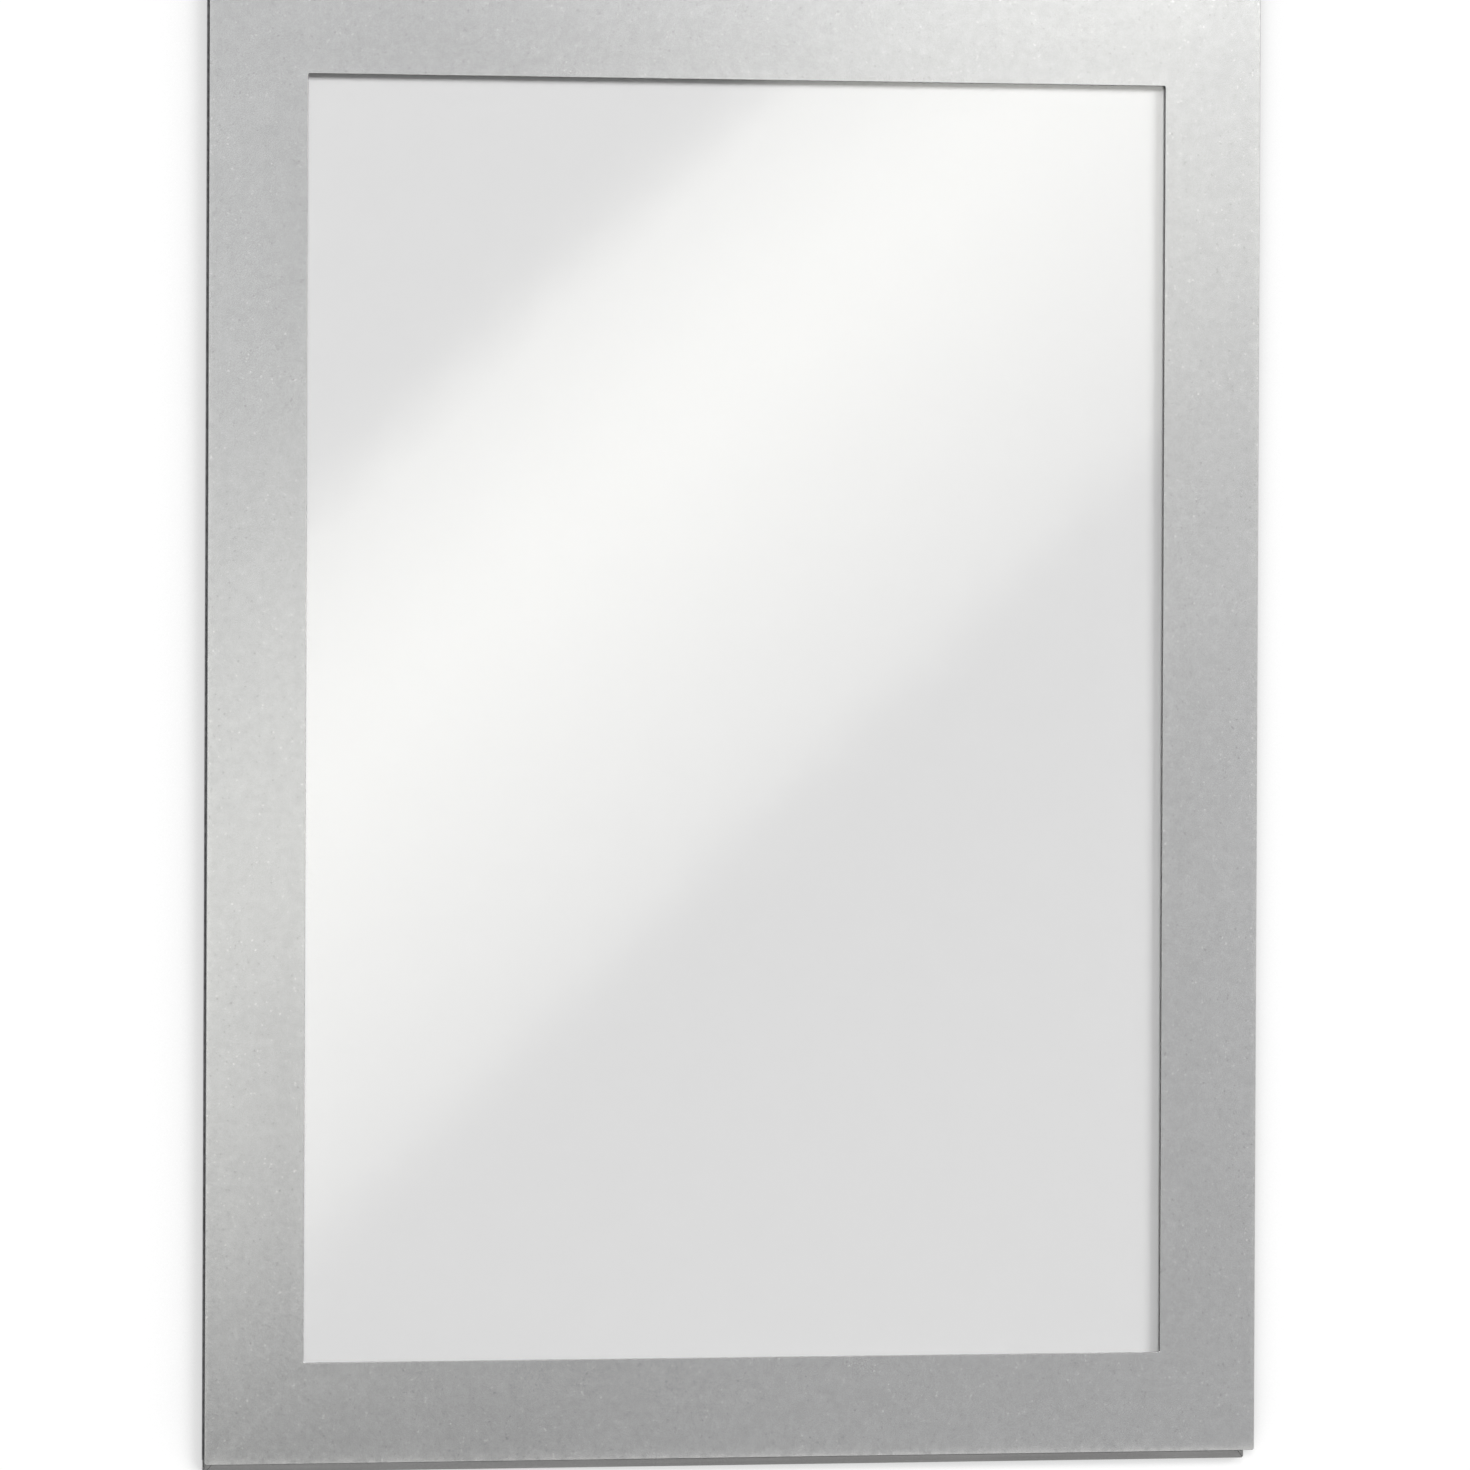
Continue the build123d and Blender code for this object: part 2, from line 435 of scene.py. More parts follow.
@dataclass(frozen=True)
class ClearFilm(Finish):
    """Clear polyester film: two shiny sides, a trace of colour and a slight unevenness."""

    colour: Colour = (0.984, 0.984, 0.984)
    let_through: Colour = (0.9, 0.9, 0.9)
    roughness: float = 0.04
    index: float = 1.57
    ripple: Marks = Marks(22.0, 0.0)
    relief: float = 0.000012

    def paint(self, nodes: ShaderNodes) -> Socket:
        """Glass for the eye and a plain tint for light that falls through it.

        Args:
            nodes: the writer.

        Returns:
            The shader's socket.
        """
        ripple = nodes.place(self.groups.grain, nodes.coords(), EVEN, *self.ripple)
        glass = nodes.principled({
            "Base Color": self.colour,
            "Metallic": 0.0,
            "Roughness": self.roughness,
            "IOR": self.index,
            "Transmission Weight": 1.0,
            "Normal": nodes.bump(ripple.outputs["Height"], self.relief),
        })
        tinted = nodes.add("BsdfTransparent", {"Color": self.let_through})
        path = nodes.add("LightPath").outputs
        light = nodes.math("MAXIMUM", path["Is Shadow Ray"], path["Is Diffuse Ray"])
        return nodes.combine("MixShader", light, glass, tinted.outputs["BSDF"])


@dataclass(frozen=True)
class MagnetRubber(Finish):
    """Ferrite rubber strip: dark grey, matt, with specks and the streaks of rolling."""

    run: Run = Run.LEVEL
    colour: Colour = (0.17, 0.169, 0.167)
    speck: Colour = (0.24, 0.238, 0.235)
    streak: Marks = Marks(1400.0, 0.5)
    grain: Marks = Marks(5200.0, 0.7)
    speck_span: Span = (0.64, 0.78)
    speck_share: Span = (0.0, 0.8)
    smudge: Patches = Patches(60.0, 900.0)
    smudge_share: float = 0.14
    smudge_sheen: float = 0.12
    relief: float = 0.000018
    roughness: float = 0.68
    specular: float = 0.4

    def paint(self, nodes: ShaderNodes) -> Socket:
        """Dark ground, streaked along the strip, with ferrite specks and a pressed-on haze.

        Args:
            nodes: the writer.

        Returns:
            The shader's socket.
        """
        where = nodes.coords()
        streak = nodes.place(self.groups.streaks, where, self.run.value, *self.streak)
        grain = nodes.place(self.groups.grain, where, EVEN, *self.grain)
        smudge = nodes.place(self.groups.smudges, where, *self.smudge).outputs["Mask"]
        mottle = nodes.math("MULTIPLY", streak.outputs["Shade"], grain.outputs["Shade"])
        base = nodes.shade(self.colour, mottle)
        specks = nodes.remap(grain.outputs["Height"], self.speck_span, self.speck_share)
        base = nodes.tint(specks, base, self.speck)
        base = nodes.tint(nodes.math("MULTIPLY", smudge, self.smudge_share), base, self.speck)
        sheen = nodes.math("MULTIPLY", smudge, -self.smudge_sheen)
        height = nodes.math("ADD", grain.outputs["Height"], streak.outputs["Height"])
        return nodes.principled({
            "Base Color": base,
            "Roughness": nodes.math("ADD", sheen, self.roughness),
            "Specular IOR Level": self.specular,
            "Normal": nodes.bump(height, self.relief),
        })


@dataclass(frozen=True)
class BondTape(Finish):
    """Double-sided tissue tape: greyish cream where dry, darker where it has wetted out."""

    run: Run = Run.LEVEL
    dry: Colour = (0.5, 0.484, 0.446)
    wetted: Colour = (0.27, 0.261, 0.24)
    fibre_stretch: float = 0.15
    fibre: Marks = Marks(2600.0, 0.45)
    held: Patches = Patches(240.0, 1600.0)
    held_share: float = 0.75
    relief: float = 0.00001
    dry_roughness: float = 0.46
    wetted_roughness: float = 0.3

    def paint(self, nodes: ShaderNodes) -> Socket:
        """Tissue fibres drawn out along the tape, with dark patches where the glue took hold.

        Args:
            nodes: the writer.

        Returns:
            The shader's socket.
        """
        where = nodes.coords()
        stretch = tuple(self.fibre_stretch if share < 1.0 else 1.0 for share in self.run.value)
        fibre = nodes.place(self.groups.streaks, where, stretch, *self.fibre)
        held = nodes.place(self.groups.smudges, where, *self.held).outputs["Mask"]
        base = nodes.tint(nodes.math("MULTIPLY", held, self.held_share), self.dry, self.wetted)
        return nodes.principled({
            "Base Color": nodes.shade(base, fibre.outputs["Shade"]),
            "Roughness": nodes.remap(held, WHOLE, (self.dry_roughness, self.wetted_roughness)),
            "Normal": nodes.bump(fibre.outputs["Height"], self.relief),
        })


@dataclass(frozen=True)
class HingeFilm(Finish):
    """Black polypropylene tape with a fine linen grain, paler along its fold."""

    colour: Colour = (0.026, 0.026, 0.028)
    stressed: Colour = (0.16, 0.16, 0.165)
    thread: Marks = Marks(2400.0, 0.4)
    fold_scale: float = 1300.0
    smudge: Patches = Patches(70.0, 1100.0)
    smudge_haze: float = 0.1
    relief: float = 0.000012
    roughness: float = 0.4

    def paint(self, nodes: ShaderNodes) -> Socket:
        """Two crossed sets of fine threads, with a whitened line where the film folds.

        Args:
            nodes: the writer.

        Returns:
            The shader's socket.
        """
        where = nodes.coords()
        threads = [nodes.place(self.groups.streaks, where, run.value, *self.thread) for run in Run]
        warp, weft = (thread.outputs for thread in threads)
        weave = nodes.math("MULTIPLY", warp["Shade"], weft["Shade"])
        height = nodes.math("ADD", warp["Height"], weft["Height"])
        fold = nodes.place(self.groups.rim_marks_and_highlight, where, nodes.carried("rim"), self.fold_scale)
        smudge = nodes.place(self.groups.smudges, where, *self.smudge)
        haze = nodes.math("MULTIPLY", smudge.outputs["Mask"], self.smudge_haze)
        return nodes.principled({
            "Base Color": nodes.tint(fold.outputs["Mask"], nodes.shade(self.colour, weave), self.stressed),
            "Roughness": nodes.math("ADD", haze, self.roughness),
            "Normal": nodes.bump(height, self.relief),
        })


@dataclass(frozen=True)
class PrintPaper(Finish):
    """Plain white card: faint clouds, fine fibres and a matt face."""

    colour: Colour = (0.8, 0.8, 0.8)
    fibre: Marks = Marks(2300.0, 0.05)
    cloud: Marks = Marks(130.0, 0.022)
    cloud_span: Span = (0.3, 0.7)
    relief: float = 0.00001
    roughness: Span = (0.84, 0.88)
    specular: float = 0.3

    def paint(self, nodes: ShaderNodes) -> Socket:
        """Short fibres over faint clouds, both in colour and as a slight relief.

        Args:
            nodes: the writer.

        Returns:
            The shader's socket.
        """
        where = nodes.coords()
        fibre = nodes.place(self.groups.grain, where, EVEN, *self.fibre)
        cloud = nodes.place(self.groups.grain, where, EVEN, *self.cloud)
        mottle = nodes.math("MULTIPLY", fibre.outputs["Shade"], cloud.outputs["Shade"])
        return nodes.principled({
            "Base Color": nodes.shade(self.colour, mottle),
            "Roughness": nodes.remap(cloud.outputs["Height"], self.cloud_span, self.roughness),
            "Specular IOR Level": self.specular,
            "Normal": nodes.bump(fibre.outputs["Height"], self.relief),
        })


class Finishes:
    """All finishes of the frame, made once and handed to the sub-assemblies."""

    def __init__(self) -> None:
        """Make the shared groups, then the finishes, two of which follow the way a strip runs."""
        groups = SurfaceGroups()
        self.silver = SilverFilm("flaked_silver", Slot.SILVER, groups)
        self.clear = ClearFilm("clear_polyester", Slot.CLEAR, groups)
        self.hinge = HingeFilm("folding_tape", Slot.HINGE, groups)
        self.paper = PrintPaper("white_card", Slot.PAPER, groups)
        self.magnet: dict[Run, MagnetRubber] = {}
        self.bond: dict[Run, BondTape] = {}
        for run in Run:
            way = run.name.lower()
            self.magnet[run] = MagnetRubber(f"ferrite_{way}", Slot.MAGNET, groups, run)
            self.bond[run] = BondTape(f"tissue_tape_{way}", Slot.BOND, groups, run)


def grid_faces(rows: int, columns: int, loop_rows: bool = False, loop_columns: bool = False) -> np.ndarray:
    """Quads of a grid of points, four neighbours each.

    Args:
        rows: points the first way.
        columns: points the second way.
        loop_rows: the last row joins the first.
        loop_columns: the last column joins the first.

    Returns:
        Four point numbers for each quad.
    """
    first = np.arange(rows if loop_rows else rows - 1)
    second = np.arange(columns if loop_columns else columns - 1)
    row, column = np.meshgrid(first, second, indexing="ij")
    next_row = (row + 1) % rows
    next_column = (column + 1) % columns
    corners = ((row, column), (row, next_column), (next_row, next_column), (next_row, column))
    return np.stack([r * columns + c for r, c in corners], axis=-1).reshape(-1, 4)


def outward(points: np.ndarray, faces: np.ndarray) -> np.ndarray:
    """Turn a closed shell's quads outwards, by the sign of its volume.

    Args:
        points: corner points.
        faces: quads.

    Returns:
        The quads, all reversed where the volume came out negative.
    """
    a, b, c, d = (points[faces[:, k]] for k in range(4))
    volume = np.einsum("ij,ij->", a, np.cross(b, c)) + np.einsum("ij,ij->", a, np.cross(c, d))
    return faces if volume > 0 else faces[:, ::-1]


def put_mesh(name: str, points: np.ndarray, faces: np.ndarray, **carried: np.ndarray) -> bpy.types.Object:
    """Make an object of points and quads, with its place in its mesh.

    Args:
        name: the object's name.
        points: corner points in metres.
        faces: quads.
        carried: values that the mesh carries at its points, by name.

    Returns:
        The object.
    """
    mesh = bpy.data.meshes.new(name)
    mesh.from_pydata(points.tolist(), [], faces.tolist())
    mesh.shade_smooth()
    mesh.set_sharp_from_angle(angle=SHARP_ANGLE)
    for title, values in carried.items():
        attribute = mesh.attributes.new(title, "FLOAT", "POINT")
        attribute.data.foreach_set("value", values.reshape(-1).astype(np.float32))
    mesh.update()
    piece = bpy.data.objects.new(name, mesh)
    bpy.context.scene.collection.objects.link(piece)
    return piece


def smooth(step: np.ndarray) -> np.ndarray:
    """Ease a step from 0 to 1 in and out."""
    held = np.clip(step, 0.0, 1.0)
    return held * held * (3.0 - 2.0 * held)


def flat_box(node: str) -> tuple[np.ndarray, np.ndarray, Span]:
    """Half width and half height of a flat CAD node, x and z of its middle, and its span of y."""
    low, high = (np.array(corner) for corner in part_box(node))
    return (high - low)[::2] / 2, (high + low)[::2] / 2, (low[1], high[1])


def rounded_loops(half: np.ndarray, radius: np.ndarray, arc_points: int, side_points: int) -> np.ndarray:
    """Rectangles with round corners, one for each row, all with the same number of points.

    A loop is four quarter circles, each about a centre that lies one radius inside its corner, joined by
    straight sides whose points crowd towards the corners as a cosine does.

    Args:
        half: half width and half height of each row.
        radius: corner radius of each row.
        arc_points: points on a quarter circle.
        side_points: points on a side between two quarter circles.

    Returns:
        An array of rows, points and (x, z).
    """
    signs = np.array([(1, 1), (-1, 1), (-1, -1), (1, -1)], float)
    turn = np.arange(4)[:, None] * (math.pi / 2) + np.linspace(0.0, math.pi / 2, arc_points)
    around = np.stack((np.cos(turn), np.sin(turn)), axis=-1)
    centres = signs * (half - radius[:, None])[:, None, :]
    arcs = centres[:, :, None, :] + radius[:, None, None, None] * around
    share = 0.5 - 0.5 * np.cos(math.pi * np.arange(1, side_points + 1) / (side_points + 1))
    share = share[None, None, :, None]
    ends = arcs[:, :, -1:, :]
    starts = np.roll(arcs[:, :, :1, :], -1, axis=1)
    sides = ends * (1 - share) + starts * share
    return np.concatenate((arcs, sides), axis=2).reshape(len(half), -1, 2)


def dress_node(name: str, finish: Finish) -> None:
    """Give a CAD node that keeps its shape a finish, and report it."""
    finish.dress(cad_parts[name])
    LOG.info("%s: CAD shape, %s", name, finish.name)


def dress_strips(half: str, finishes: Finishes) -> None:
    """Dress the magnet strip and the bond tape on each side of one half.

    Args:
        half: what the names of its strips start with.
        finishes: all finishes.
    """
    for side in Side:
        name, run = side.value
        dress_node(f"{half}_magnet_{name}", finishes.magnet[run])
        dress_node(f"{half}_tape_{name}", finishes.bond[run])


@dataclass
class ClearPane:
    """A clear sheet, a hair thinner than its CAD film, so that it shares no face with a neighbour."""

    finish: Finish
    name: str
    node: str
    body: Body
    corner_radius: float = 0.4 * MM
    shaved: float = 0.008 * MM
    side_lines: int = 14
    corner_lines: int = 5

    def face(self, half: np.ndarray) -> np.ndarray:
        """One face of the sheet, a grid of points on a rectangle with round corners.

        The grid's lines are even between the corners and close in each corner. In a corner's small square
        a point at the shares (a, b) of the radius moves to a times the root of 1 - b*b/2 and b times the
        root of 1 - a*a/2, which makes the square a quarter of a disc.

        Args:
            half: half width and half height.

        Returns:
            An array of rows, columns and (x, z).
        """
        straight = half - self.corner_radius
        close = self.corner_radius * np.linspace(0.0, 1.0, self.corner_lines)[1:]
        even = [np.linspace(-end, end, self.side_lines) for end in straight]
        lines = [np.concatenate((line[0] - close[::-1], line, line[-1] + close)) for line in even]
        grid = np.stack(np.meshgrid(*lines, indexing="ij"), axis=-1)
        share = np.clip((np.abs(grid) - straight) / self.corner_radius, 0.0, 1.0)
        bent = share * np.sqrt(1.0 - share[..., ::-1] ** 2 / 2.0)
        return np.sign(grid) * (np.minimum(np.abs(grid), straight) + self.corner_radius * bent)

    def build(self) -> None:
        """Build the sheet: the face twice, a thickness apart, joined by a band of quads along the rim."""
        half, middle, (near, far) = flat_box(self.node)
        flat = self.face(half) + middle
        rows, columns = flat.shape[:2]
        count = rows * columns
        depths = np.repeat((near + self.shaved, far - self.shaved), count)
        x, z = np.tile(flat.reshape(-1, 2), (2, 1)).T
        points = np.stack((x, depths, z), axis=-1)
        number = np.arange(count).reshape(rows, columns)
        rim = np.concatenate((number[0, :-1], number[:-1, -1], number[-1, :0:-1], number[:0:-1, 0]))
        ahead = np.roll(rim, -1)
        band = np.stack((ahead, rim, rim + count, ahead + count), axis=-1)
        front = grid_faces(rows, columns)
        faces = outward(points, np.concatenate((front, front[:, ::-1] + count, band)))
        piece = put_mesh(self.name, points, faces)
        self.finish.dress(piece)
        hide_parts(self.node)
        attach(piece, self.body.value)
        LOG.info("%s: %d quads, rides on %s", self.name, len(faces), self.body.value)


@dataclass
class FrontFrame:
    """The half that swings: silver face, magnet strips, tapes and clear window."""

    finishes: Finishes
    border: float = 16.0 * MM
    corner_radius: float = 0.4 * MM
    window_radius: float = 0.3 * MM
    edge_run: float = 0.06 * MM
    edge_rise: float = 0.05 * MM
    edge_rows: int = 6
    flat_rows: int = 32
    corner_points: int = 6
    side_points: int = 90
    ripple: float = 0.006 * MM
    ripple_middle: float = 0.5
    ripple_swing: float = 0.3
    ripple_fade: float = 2.0 * MM
    wave_x: float = 11.7 * MM
    wave_z: float = 15.1 * MM
    start_x: float = 1.3
    start_z: float = 0.4
    slanted_wave: float = 8.3 * MM
    slanted_rise: float = 0.7
    slanted_share: float = 0.6
    mitre_dip: float = 0.002 * MM
    mitre_reach: float = 1.2 * MM
    outer_rub: float = 0.6
    inner_rub: float = 0.2
    rub_reach: float = 0.5 * MM
    # painted highlight along the lower outside edge, on top of the rub
    lower_highlight: float = 2.0
    lower_highlight_reach: float = 0.5 * MM

    def profile(self, back: float, front: float) -> tuple[np.ndarray, np.ndarray]:
        """Section of the silver face, from the outside edge over the front to the window and back.

        Both edges are quarter ellipses, edge_run wide and edge_rise deep. The rows of the flat between
        them crowd towards the edges as a cosine does.

        Args:
            back: depth of the film's back.
            front: depth of its front.

        Returns:
            How far in from the outside each row lies, and its depth.
        """
        turn = np.linspace(0.0, math.pi / 2, self.edge_rows)
        run = self.edge_run * (1 - np.cos(turn))
        rise = front - self.edge_rise * (1 - np.sin(turn))
        flat = np.linspace(0.0, 1.0, self.flat_rows + 2)[1:-1]
        flat = self.edge_run + (self.border - 2 * self.edge_run) * (0.5 - 0.5 * np.cos(math.pi * flat))
        inset = np.concatenate(([0.0], run, flat, self.border - run[::-1], [self.border]))
        depth = np.concatenate(([back], rise, np.full(len(flat), front), rise[::-1], [back]))
        return inset, depth

    def silver_face(self) -> None:
        """Build the silver face: the section carried round the border.

        Each row is a rectangle with round corners, whose half sides shrink by the row's inset. The front
        sinks by a faint ripple, a sum of slow waves, and by a shallow dip along each corner's diagonal,
        where the magnet strips under it meet: a bell curve of the distance from that diagonal. The rim
        value says how rubbed a point is, and along the lower outside it also carries a painted highlight.
        It fades away from both edges and is highest at the lower outside.
        """
        outer, middle, (near, far) = flat_box("face_film")
        inset, depth = self.profile(-far, -near)
        radius = self.corner_radius + (self.window_radius - self.corner_radius) * (inset / self.border)
        loops = rounded_loops(outer - inset[:, None], radius, self.corner_points, self.side_points)
        x, z = loops[..., 0], loops[..., 1]
        inset, depth = inset[:, None], depth[:, None]
        rest = self.border - inset
        waves = np.sin(x / self.wave_x + self.start_x) * np.sin(z / self.wave_z + self.start_z)
        waves += self.slanted_share * np.sin((x + self.slanted_rise * z) / self.slanted_wave)
        off_mitre = ((outer[0] - np.abs(x)) - (outer[1] - np.abs(z))) / math.sqrt(2.0)
        dip = self.mitre_dip * np.exp(-((off_mitre / self.mitre_reach) ** 2))
        sunk = self.ripple * (self.ripple_middle + self.ripple_swing * waves) + dip
        sunk *= smooth((np.minimum(inset, rest) - self.edge_run) / self.ripple_fade) * (depth == -near)
        points = np.stack((x + middle[0], sunk - depth, z + middle[1]), axis=-1).reshape(-1, 3)
        # painted highlight: the rim value rises along the lower outside edge
        lower = np.exp(-(((z + outer[1] - inset) / self.lower_highlight_reach) ** 2))
        rim = np.exp(-inset / self.rub_reach) * (self.outer_rub + self.lower_highlight * lower)
        rim += self.inner_rub * np.exp(-rest / self.rub_reach)
        faces = outward(points, grid_faces(*x.shape, loop_rows=True, loop_columns=True))
        piece = put_mesh("silver_face", points, faces, rim=rim)
        self.finishes.silver.dress(piece)
        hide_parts("face_film")
        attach(piece, Body.FRONT.value)
        LOG.info("silver_face: %d quads, rides on %s", len(faces), Body.FRONT.value)

    def build(self) -> None:
        """Make the silver face and dress the layers under it."""
        self.silver_face()
        ClearPane(self.finishes.clear, "window_pane", "window_film", Body.FRONT).build()
        dress_strips("front", self.finishes)


@dataclass
class BackPanel:
    """The half that stays on the wall: clear back, tapes, magnet strips and the print."""

    finishes: Finishes

    def build(self) -> None:
        """Dress the layers of the back."""
        ClearPane(self.finishes.clear, "back_pane", "back_sheet", Body.BACK).build()
        dress_node("print_sheet", self.finishes.paper)
        dress_strips("rear", self.finishes)


@dataclass
class FilmHinge:
    """The tape that is folded double along one edge and joins the two halves."""

    finishes: Finishes
    thickness: float = 0.08 * MM
    fold_points: int = 17
    leaf_points: int = 24
    length_points: int = 60
    rim_reach: float = 0.45 * MM

    def section(self, fold_x: float, leaf_end: float, axis_depth: float, radius: float) -> np.ndarray:
        """Half of the tape's section: in along one leaf, round the fold, and out along the other.

        The fold is a half circle about the hinge axis. The leaves are straight lines at its two ends, and
        their points crowd towards it as a square does.

        Args:
            fold_x: where the axis is.
            leaf_end: where the leaves end.
            axis_depth: the axis's depth.
            radius: distance from the axis to this face of the tape.

        Returns:
            (x, depth) of each point.
        """
        leaf = leaf_end + (fold_x - leaf_end) * (1 - np.linspace(1.0, 0.0, self.leaf_points) ** 2)[:-1]
        turn = np.linspace(0.0, math.pi, self.fold_points)
        fold = np.stack((fold_x - radius * np.sin(turn), axis_depth - radius * np.cos(turn)), axis=-1)
        rear = np.stack((leaf, np.full(len(leaf), axis_depth - radius)), axis=-1)
        front = np.stack((leaf[::-1], np.full(len(leaf), axis_depth + radius)), axis=-1)
        return np.concatenate((rear, fold, front))

    def build(self) -> None:
        """Build the folded tape: its section carried along the edge, with caps."""
        low, high = (np.array(corner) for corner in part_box("hinge_tape"))
        outer_radius = (high[1] - low[1]) / 2
        axis_depth = -(high[1] + low[1]) / 2
        fold_x = low[0] + outer_radius
        inner_radius = outer_radius - self.thickness
        outer = self.section(fold_x, high[0], axis_depth, outer_radius)
        inner = self.section(fold_x, high[0], axis_depth, inner_radius)
        around = np.concatenate((outer, inner[::-1]))
        along = np.linspace(low[2], high[2], self.length_points)
        x, y, z = np.broadcast_arrays(around[:, :1], -around[:, 1:], along)
        points = np.stack((x, y, z), axis=-1).reshape(-1, 3)
        sides = grid_faces(*x.shape, loop_rows=True)
        step = np.arange(len(outer) - 1)
        back = len(around) - 1 - step
        cap = np.stack((step, back, back - 1, step + 1), axis=-1) * len(along)
        faces = outward(points, np.concatenate((sides, cap, cap[:, ::-1] + len(along) - 1)))
        rim = np.exp(-np.maximum(x - fold_x, 0.0) / self.rim_reach)
        piece = put_mesh("hinge_film", points, faces, rim=rim)
        self.finishes.hinge.dress(piece)
        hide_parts("hinge_tape")
        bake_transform(piece)
        LOG.info("hinge_film: %d quads, bends between the halves", len(faces))


@dataclass
class Backdrop:
    """White wall and floor in one sheet, with a round cove between them."""

    half_width: float = 1.2
    wall_top: float = 1.0
    wall_gap: float = 0.02 * MM
    floor_drop: float = 0.75
    cove_radius: float = 0.2
    floor_reach: float = 1.6
    cove_points: int = 24
    straight_points: int = 12
    across_points: int = 13
    colour: Colour = (0.185, 0.185, 0.185)
    lift: float = 0.83
    shade_lean: Point = (0.16, 0.0, -0.75)
    shade_reach: float = 12.0 * MM
    shade_samples: int = 8
    shade_depth: float = 1.2
    darkest_share: float = 0.71

    def paint(self) -> bpy.types.Material:
        """White paint that glows for the eye by the share of the room it sees, and is open from behind.

        The share is taken about a leaning normal, so that the frame shades the wall on its left more than
        below. It is stretched away from 1 by shade_depth and doesn't fall under darkest_share.

        Returns:
            The material.
        """
        material = bpy.data.materials.new("white_wall")
        nodes = ShaderNodes.fresh(material)
        paint = nodes.add("BsdfDiffuse", {"Color": self.colour}).outputs["BSDF"]
        path = nodes.add("LightPath").outputs
        seen = nodes.math("MAXIMUM", path["Is Camera Ray"], path["Is Transmission Ray"])
        surface = nodes.add("NewGeometry").outputs
        facing = nodes.vector("NORMALIZE", nodes.vector("ADD", surface["Normal"], self.shade_lean))
        room = {"Distance": self.shade_reach, "Normal": facing}
        share = nodes.add("AmbientOcclusion", room, samples=self.shade_samples).outputs["AO"]
        share = nodes.math("MULTIPLY_ADD", share, self.shade_depth, 1.0 - self.shade_depth)
        share = nodes.math("MAXIMUM", share, self.darkest_share)
        strength = nodes.math("MULTIPLY", seen, nodes.math("MULTIPLY", share, self.lift))
        glow = nodes.add("Emission", {"Strength": strength}).outputs["Emission"]
        lit = nodes.combine("AddShader", paint, glow)
        nothing = nodes.add("BsdfTransparent").outputs["BSDF"]
        either = nodes.combine("MixShader", surface["Backfacing"], lit, nothing)
        nodes.add("OutputMaterial", {"Surface": either})
        return material

    def build(self) -> None:
        """Build the sheet: a straight drop, a quarter circle and a straight floor, drawn sideways."""
        turn = np.linspace(0.0, math.pi / 2, self.cove_points)
        wall_z = np.linspace(self.wall_top, self.cove_radius - self.floor_drop, self.straight_points)[:-1]
        cove_y = self.wall_gap - self.cove_radius * (1 - np.cos(turn))
        cove_z = self.cove_radius * (1 - np.sin(turn)) - self.floor_drop
        floor_y = np.linspace(cove_y[-1], -self.floor_reach, self.straight_points)[1:]
        y = np.concatenate((np.full(len(wall_z), self.wall_gap), cove_y, floor_y))
        z = np.concatenate((wall_z, cove_z, np.full(len(floor_y), -self.floor_drop)))
        across = np.linspace(-self.half_width, self.half_width, self.across_points)
        points = np.stack(np.broadcast_arrays(across, y[:, None], z[:, None]), axis=-1)
        faces = grid_faces(len(y), len(across))[:, ::-1]
        sheet = put_mesh("white_wall", points.reshape(-1, 3), faces)
        sheet.data.materials.append(self.paint())
        for ray in ("visible_shadow", "visible_glossy", "visible_diffuse"):
            setattr(sheet, ray, False)


@dataclass(frozen=True)
class SoftLamp:
    """A wide lamp that looks at the frame. Its power is in watts."""

    name: str
    place: Point
    width: float
    height: float
    power: float

    def hang(self) -> None:
        """Hang the lamp where the camera doesn't see it."""
        data = bpy.data.lights.new(self.name, "AREA")
        data.shape = "RECTANGLE"
        data.size = self.width
        data.size_y = self.height
        data.energy = self.power
        lamp = bpy.data.objects.new(self.name, data)
        lamp.location = self.place
        lamp.rotation_euler = (-Vector(self.place)).to_track_quat("-Z", "Y").to_euler()
        lamp.visible_camera = False
        bpy.context.scene.collection.objects.link(lamp)


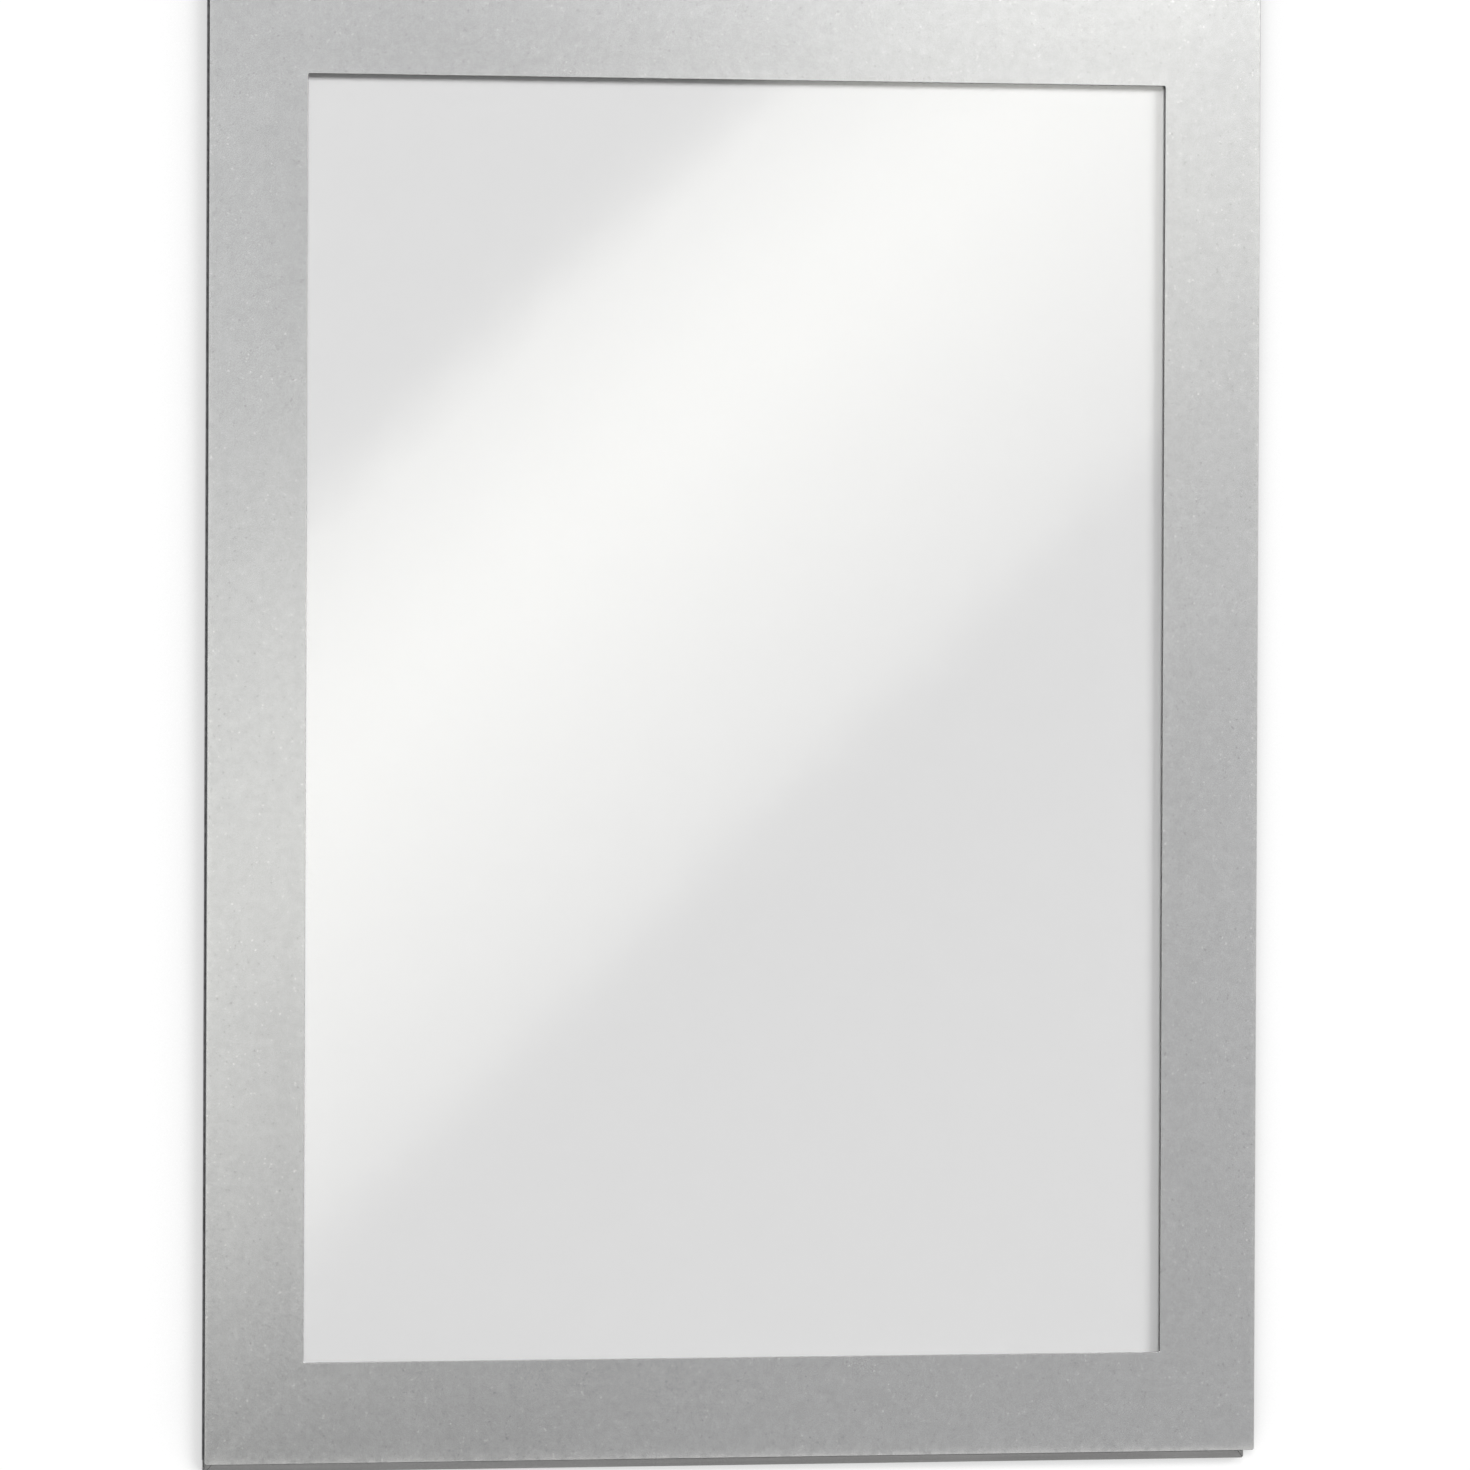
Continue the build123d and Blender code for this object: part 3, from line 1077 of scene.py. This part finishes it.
@dataclass(frozen=True)
class MirrorCard:
    """A flat card that only mirrors see: it adds light to the white room behind it or takes some away.

    A point of it is its middle plus a step from -1 to 1 of the along vector and one of the across vector.
    A light below nought takes away. The fades are shares of half the card, along and across.
    """

    name: str
    middle: Point
    along: Point
    across: Point
    light: float
    tint: Colour = (1.0, 1.0, 1.0)
    fades: Span = (0.6, 0.6)
    points: int = 24

    def pattern(self) -> np.ndarray:
        """Shares of the light, across by along: the product of eased steps in from the ends and sides."""
        step = 1.0 - np.abs(np.linspace(-1.0, 1.0, self.points))
        return np.outer(smooth(step / self.fades[1]), smooth(step / self.fades[0]))

    def paint(self) -> bpy.types.Material:
        """Glow by the value that the mesh carries, or let less through where that is below nought.

        Returns:
            The material.
        """
        material = bpy.data.materials.new(self.name)
        nodes = ShaderNodes.fresh(material)
        glow = nodes.carried("glow")
        strength = nodes.math("MAXIMUM", glow, 0.0)
        shine = nodes.add("Emission", {"Color": self.tint, "Strength": strength})
        left = nodes.math("MINIMUM", nodes.math("ADD", glow, 1.0), 1.0)
        clear = nodes.add("BsdfTransparent", {"Color": left})
        both = nodes.combine("AddShader", shine.outputs["Emission"], clear.outputs["BSDF"])
        nodes.add("OutputMaterial", {"Surface": both})
        return material

    def hang(self) -> None:
        """Hang the card, with its light at each point carried by its mesh."""
        glow = self.light * self.pattern()
        rows, columns = glow.shape
        u = np.linspace(-1.0, 1.0, columns)[None, :, None]
        v = np.linspace(-1.0, 1.0, rows)[:, None, None]
        points = np.array(self.middle) + u * np.array(self.along) + v * np.array(self.across)
        sheet = put_mesh(self.name, points.reshape(-1, 3), grid_faces(rows, columns), glow=glow)
        sheet.data.materials.append(self.paint())
        for ray in ("visible_camera", "visible_shadow", "visible_diffuse"):
            setattr(sheet, ray, False)


@dataclass(frozen=True)
class GlareBand(MirrorCard):
    """A card with the same light all along: brightest before its middle, then sagging to a crisp end.

    A rise is its start, its width and its share of the light, across the card from 0 to 1.
    """

    points: int = 90
    quick_rise: Point = (0.08, 0.1, 0.7)
    slow_rise: Point = (0.12, 0.28, 0.3)
    sag_start: float = 0.44
    sag: float = 1.36
    end: float = 0.957
    end_width: float = 0.08

    def pattern(self) -> np.ndarray:
        """Shares of the light: two eased rises added up, times an eased end, times a straight sag.

        Returns:
            The shares, the same in both columns.
        """
        v = np.linspace(0.0, 1.0, self.points)
        rises = (self.quick_rise, self.slow_rise)
        rise = sum(share * smooth((v - start) / width) for start, width, share in rises)
        sagging = 1.0 - self.sag * np.maximum(v - self.sag_start, 0.0)
        band = rise * (smooth((self.end - v) / self.end_width) * sagging)
        return np.repeat(band[:, None], 2, axis=1)


@dataclass
class Viewpoint:
    """The camera, where the edges of the border say that it stood: low, in front and to the left.

    Angles are in radians, the lens in millimetres.
    """

    azimuth: float = -0.27181
    elevation: float = 0.01152
    roll: float = 0.00417
    distance: float = 2.0568
    target: Point = (-0.00053461, -0.0017, -0.00256854)
    lens: float = 315.54

    def set_up(self) -> None:
        """Put the camera at its distance from the target, facing it and turned by the roll."""
        tilt = math.pi / 2 - self.elevation
        turn = Matrix.Rotation(self.azimuth, 4, "Z") @ Matrix.Rotation(tilt, 4, "X")
        turn @= Matrix.Rotation(self.roll, 4, "Z")
        away = Matrix.Translation((0.0, 0.0, self.distance))
        data = bpy.data.cameras.new("camera")
        data.lens = self.lens
        camera = bpy.data.objects.new("camera", data)
        camera.matrix_world = Matrix.Translation(self.target) @ turn @ away
        bpy.context.scene.collection.objects.link(camera)
        bpy.context.scene.camera = camera


@dataclass
class Studio:
    """White room, soft lamps, what the frame mirrors, and the camera. None of it belongs to the frame."""

    sky_strength: float = 0.09
    lamps: tuple[SoftLamp, ...] = (
        SoftLamp("front_lamp", (-0.94, -5.34, 3.72), 3.3, 2.4, 312.0),
        SoftLamp("side_lamp", (4.97, -3.88, 2.55), 3.0, 2.2, 330.0),
        SoftLamp("silver_lamp", (0.73, -2.248, 0.417), 0.3, 0.3, 1.3),
        SoftLamp("rear_lamp", (0.5, 2.2, 1.0), 1.4, 1.4, 65.0),
    )
    cards: tuple[MirrorCard, ...] = (
        GlareBand(
            "slanted_band", (0.557, -2.0, 0.063), (0.47905, 0.0, 0.4394), (0.07436, 0.0, -0.08107), 2.42,
            tint=(1.0, 1.0, 0.93),
        ),
        MirrorCard(
            "left_glow", (0.235, -2.03, 0.13), (0.17, 0.0, 0.0), (0.0, 0.0, 0.2), 2.15,
            tint=(0.97, 1.0, 0.985),
        ),
        MirrorCard("right_glow", (0.885, -2.03, 0.02), (0.17, 0.0, 0.0), (0.0, 0.0, 0.3), 1.2),
        MirrorCard("top_glow", (0.5, -2.03, 0.31), (0.15, 0.0, 0.0), (0.0, 0.0, 0.11), 1.1),
        MirrorCard(
            "dark_corner", (0.37, -2.06, -0.39), (0.22, 0.0, 0.0), (0.0, 0.0, 0.17), -0.95,
            fades=(0.6, 0.3),
        ),
    )

    def sky(self) -> None:
        """White all round for eye, mirror and glass, and a weak even light for the rest."""
        world = bpy.data.worlds.new("white_room")
        nodes = ShaderNodes.fresh(world)
        path = nodes.add("LightPath").outputs
        seen = nodes.math("MAXIMUM", path["Is Camera Ray"], path["Is Glossy Ray"])
        seen = nodes.math("MAXIMUM", seen, path["Is Transmission Ray"])
        level = nodes.math("MULTIPLY_ADD", seen, 1.0 - self.sky_strength, self.sky_strength)
        glow = nodes.add("Background", {"Color": (1.0, 1.0, 1.0), "Strength": level})
        nodes.add("OutputWorld", {"Surface": glow.outputs["Background"]})
        bpy.context.scene.world = world

    def build(self) -> None:
        """Put up the wall, the sky, the lamps, the cards and the camera."""
        bpy.context.scene.view_settings.view_transform = "Standard"
        Backdrop().build()
        self.sky()
        for thing in (*self.lamps, *self.cards):
            thing.hang()
        Viewpoint().set_up()


def main() -> None:
    """Build the frame's parts in order, then the studio."""
    logging.basicConfig(level=logging.INFO, format="%(name)s: %(message)s")
    finishes = Finishes()
    BackPanel(finishes).build()
    FilmHinge(finishes).build()
    FrontFrame(finishes).build()
    Studio().build()


if __name__ == "__main__":
    main()
